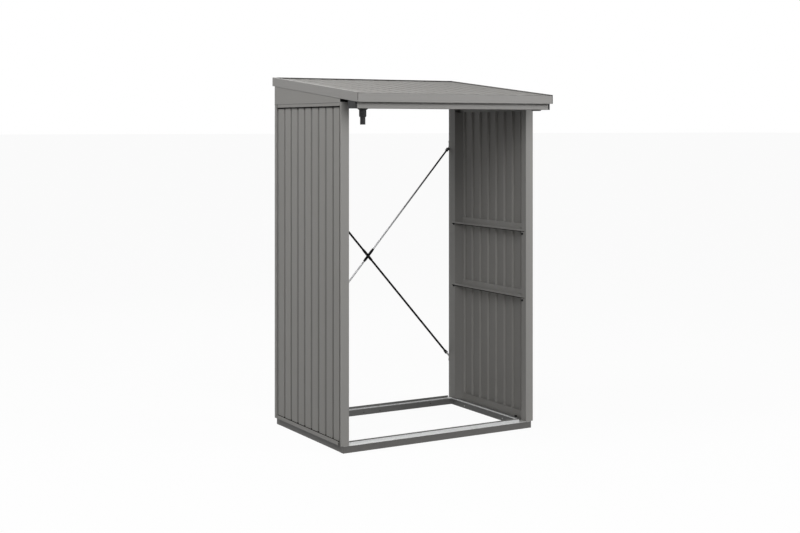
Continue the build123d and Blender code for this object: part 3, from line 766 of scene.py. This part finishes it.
# Bright covers on the rails' ledges
ledge = {
    "side": [(560.2, 34.0), (580.2, 34.0), (580.2, 34.6), (562.6, 34.6), (562.2, 37.6),
             (560.8, 37.6), (560.2, 37.0)],
    "sideFrom": -284.0, "sideTo": 444.0,
    "back": [(456.8, 34.0), (482.6, 34.0), (482.6, 34.6), (458.8, 34.6), (458.4, 36.2),
             (457.2, 36.2), (456.8, 35.8)],
    "backReach": 544.0,
}
strips("ledge_cover_side", [("y", ledge["side"], ledge["sideFrom"], ledge["sideTo"])],
       "bareZinc", both=True)
strips("ledge_cover_back", [("x", ledge["back"], -ledge["backReach"], ledge["backReach"])],
       "bareZinc")

# A slanting trim closes the corner between each back post and its panel, in lengths between
# the girts, and a narrower length stands in the bottom channel
# the trim's darker paint is painted shade in the corner
corner = {
    "outline": [(567.3, 416.4), (597.6, 371.0), (597.6, 371.9), (567.9, 416.4)],
    "lengths": [(83.0, 734.8), (736.3, 1112.8), (1114.3, 1793.5)],
    "footOutline": [(567.3, 416.4), (596.3, 373.0), (596.3, 373.9), (567.9, 416.4)],
    "foot": (39.3, 82.9),
}
strips("corner_trim",
       [("z", corner["outline"], low, high) for low, high in corner["lengths"]]
       + [("z", corner["footOutline"], *corner["foot"])],
       "cornerShadedPaint", both=True)

# Black strips under each girt's flange and its lapped ends as painted shadow, and black seal beads
# down the roof's front corners
girtLevels = (735.0, 1113.0)
girtShadowStrip = {"from": -282.0, "to": 416.0, "laps": ((-312.0, -282.4), (416.8, 446.6))}
girtShadowRuns = [("y", [(566.3, level - 3.0), (572.0, level - 3.0), (573.0, level), (566.0, level)],
             girtShadowStrip["from"], girtShadowStrip["to"]) for level in girtLevels]
girtShadowRuns += [("y", [(566.1, level - 2.4), (567.0, level - 2.4), (567.0, level + 1.2),
                    (566.1, level + 1.2)], start, end)
             for level in girtLevels for start, end in girtShadowStrip["laps"]]
strips("girt_seal", girtShadowRuns, "blackFoamAndPaintedShade", both=True)
fascia = {"seal": [(614.2, -511.9), (616.2, -511.9), (616.2, -511.1), (614.2, -511.1)],
          "low": 1834.5, "high": 1876.5}
strips("fascia_seal", [("z", fascia["seal"], fascia["low"], fascia["high"])],
       "blackFoamAndPaintedShade", both=True)

# A small angle closes the front end of each girt
strips("girt_end",
       [("x", [(-251.0, level + 1.0), (-234.0, level + 1.0), (-234.0, level + 2.0),
               (-249.6, level + 2.0), (-250.0, level + 2.4), (-250.0, level + 13.0),
               (-251.0, level + 13.0)], 568.2, 596.4) for level in girtLevels],
       "dullZinc", both=True)
print("trim added")

# Heads of the fasteners, in mm: half width, height over the seat, shape
rivet = turned("rivetHead", [(3.9, 0, ""), (4.0, 0.35, ""), (3.5, 0.9, ""), (2.4, 1.15, "")])
seamRivet = turned("seamRivetHead", [(3.0, 0, ""), (3.0, 0.3, ""), (2.5, 0.8, ""), (1.6, 1.0, "")])
panScrew = turned("panScrewHead", [(4.2, 0, ""), (4.2, 0.5, ""), (3.8, 0.6, ""), (3.8, 1.1, ""),
                                   (3.4, 2.0, ""), (2.5, 2.6, ""), (1.6, 2.8, ""),
                                   (1.5, 2.8, "hex"), (1.4, 1.4, "hex")])
frameBolt = turned("frameBoltHead", [(6.5, 0, ""), (6.5, 1.2, ""), (5.0, 1.2, "hex"),
                                     (5.0, 5.0, "hex"), (4.3, 5.6, "")])
anchor = turned("anchorHead", [(7.4, 0, ""), (7.4, 1.4, ""), (6.0, 1.4, "hex"), (6.0, 8.8, "hex"),
                               (5.2, 9.5, "")])
pinHead = turned("pinHead", [(5.8, 0, ""), (5.8, 0.7, ""), (5.0, 0.8, ""), (5.0, 1.9, ""),
                             (4.2, 2.4, ""), (2.0, 2.6, "")])
lockNut = turned("lockNut", [(5.45, 0, ""), (5.9, 0, ""), (6.5, 0.6, "hex"), (6.5, 4.4, "hex"),
                             (5.9, 5.0, ""), (5.45, 5.0, "")], bored=True)
gripRing = turned("gripRing", [(18.4, 0, ""), (18.9, 0.6, "ribbed"), (19.1, 2.0, "ribbed"),
                               (19.1, 26.0, "ribbed"), (18.9, 27.4, "ribbed"), (18.4, 28.0, "")],
                  bored=True, count=72)

# Roof: a screw at each end of every groove, rivets along the side flanges
roofRows = {"grooves": 14, "pitch": 87.2, "grooveDrop": 20.5, "screwsAt": (-290.0, 464.6),
            "rivetSide": 606.5, "rivetsAt": range(-430, 431, 172)}
grooveAt = [roofRows["pitch"] * (number - (roofRows["grooves"] - 1) / 2)
            for number in range(roofRows["grooves"])]
fasten("roof_screws", panScrew,
       [(Vector((x, y, roofAt(y, roofRows["grooveDrop"]))), roofUp)
        for x in grooveAt for y in roofRows["screwsAt"]],
       "dullZinc")
fasten("roof_rivets", rivet,
       mirrored([(Vector((roofRows["rivetSide"], y, roofAt(y))), roofUp)
                 for y in roofRows["rivetsAt"]]),
       "roofPaint")

# Walls: painted rivets outside, up the front and back posts and along the head and the foot
wallRows = {"out": 615.4, "posts": (-322.4, 474.6), "low": 110.0, "high": 1790.0, "upCount": 7,
            "channels": (1823.5, 48.5), "from": -240.0, "to": 400.0, "alongCount": 6}
seams = []
for y in wallRows["posts"]:
    seams += row((wallRows["out"], y, wallRows["low"]), (wallRows["out"], y, wallRows["high"]),
                 wallRows["upCount"], (1, 0, 0))
for z in wallRows["channels"]:
    seams += row((wallRows["out"], wallRows["from"], z), (wallRows["out"], wallRows["to"], z),
                 wallRows["alongCount"], (1, 0, 0))
fasten("wall_rivets", seamRivet, mirrored(seams), "wallPaint")

# Girts bolted to the posts' inner faces
girtBolts = []
for level in girtLevels:
    girtBolts += [(Vector((567.0, -293.7, level - 14.6)), Vector((-1, 0, 0))),
                  (Vector((567.0, 427.0, level - 3.0)), Vector((-1, 0, 0)))]
fasten("girt_bolts", frameBolt, mirrored(girtBolts), "darkSteel")

# Base: anchors through the side rails, screws in the rails' inner faces
fasten("ground_anchors", anchor,
       mirrored([(Vector((588.0, y, 38.0)), Vector((0, 0, 1))) for y in (-198.0, 410.0)]),
       "darkSteel")
fasten("rail_screws", seamRivet,
       mirrored([(Vector((560.0, y, 14.0)), Vector((-1, 0, 0))) for y in (-105.0, 300.0)]),
       "bareZinc")
fasten("rail_bolts", seamRivet,
       mirrored([(Vector((560.0, 418.0, 18.0)), Vector((-1, 0, 0)))]
                + [(Vector((x, 444.5, z)), Vector((0, -1, 0)))
                   for x, z in ((55.0, 15.0), (407.0, 19.0))]),
       "darkSteel")

# Tie rods: lock nuts and threads beside each sleeve, heads on the fork pins, bracket bolts
rods = {"middle": 939.8, "endX": 557.5, "slope": 1.1272, "rising": 485.5, "falling": 502.0,
        "nutAt": 42.0, "threadAt": 47.0, "coatAt": 56.0, "coatLength": 768.0, "pinOut": 7.0,
        "bracketUp": 24.5, "boltRise": 16.0, "boltBack": 488.6, "boltsAt": (573.5, 590.5)}
coat = turned("rodCoat", [(5.35, 0, ""), (6.2, 0, ""), (6.2, rods["coatLength"], ""),
                          (5.35, rods["coatLength"], "")], bored=True)
thread = grown(bpy.data.objects.new("threadCore", bpy.data.meshes.new("threadCore")), rolledThread,
               {"Radius": 0.0053, "Pitch": 0.0015, "Turns": 6.0, "Depth": 0.00035,
                "Finish": finishes["darkSteel"]})
nuts, threads, coats, pins, bolts = [], {"rising": [], "falling": []}, [], [], []
for rod, side in (("rising", 1), ("falling", -1)):
    middle = Vector((0, rods[rod], rods["middle"]))
    tip = Vector((side * rods["endX"], 0, rods["endX"] * rods["slope"]))
    along = tip.normalized()
    across = Vector((-along.z, 0, along.x))
    for way in (1, -1):
        nuts.append((middle + along * (rods["nutAt"] * way), along * way))
        threads[rod].append((middle + along * (rods["threadAt"] * way), along * way))
        if rod == "falling":
            coats.append((middle + along * (rods["coatAt"] * way), along * way))
        pins += [(middle + tip * way + across * (rods["pinOut"] * turn), across * turn)
                 for turn in (1, -1)]
        end = way * side
        height = rods["middle"] + way * (tip.z + rods["bracketUp"] * rods["slope"])
        for x, up in zip(rods["boltsAt"], (1, -1)):
            spot = Vector((end * x, rods["boltBack"], height + up * way * rods["boltRise"]))
            bolts.append((spot, Vector((0, 1, 0))))
fasten("brace_nuts", lockNut, nuts, "darkSteel", spin=0.0)
fasten("brace_thread_rising", thread, threads["rising"], "brightRod", spin=0.0)
fasten("brace_thread_falling", thread, threads["falling"], "darkSteel", spin=0.0)
fasten("brace_coat_falling", coat, coats, "darkSteel", spin=0.0)  # shrunk-on tube
fasten("brace_pins", pinHead, pins, "darkSteel")
fasten("bracket_bolts", frameBolt, bolts, "darkSteel")

# Outlet: moulded grip ribs round its collar
fasten("outlet_grip", gripRing, [(Vector((-551.0, -446.3, 1761.5)), Vector((0, 0, 1)))],
       "blackPlastic", spin=0.0)
for spare in (rivet, seamRivet, panScrew, frameBolt, anchor, pinHead, lockNut, gripRing, coat,
              thread):
    bpy.data.objects.remove(spare)
print("fasteners added")
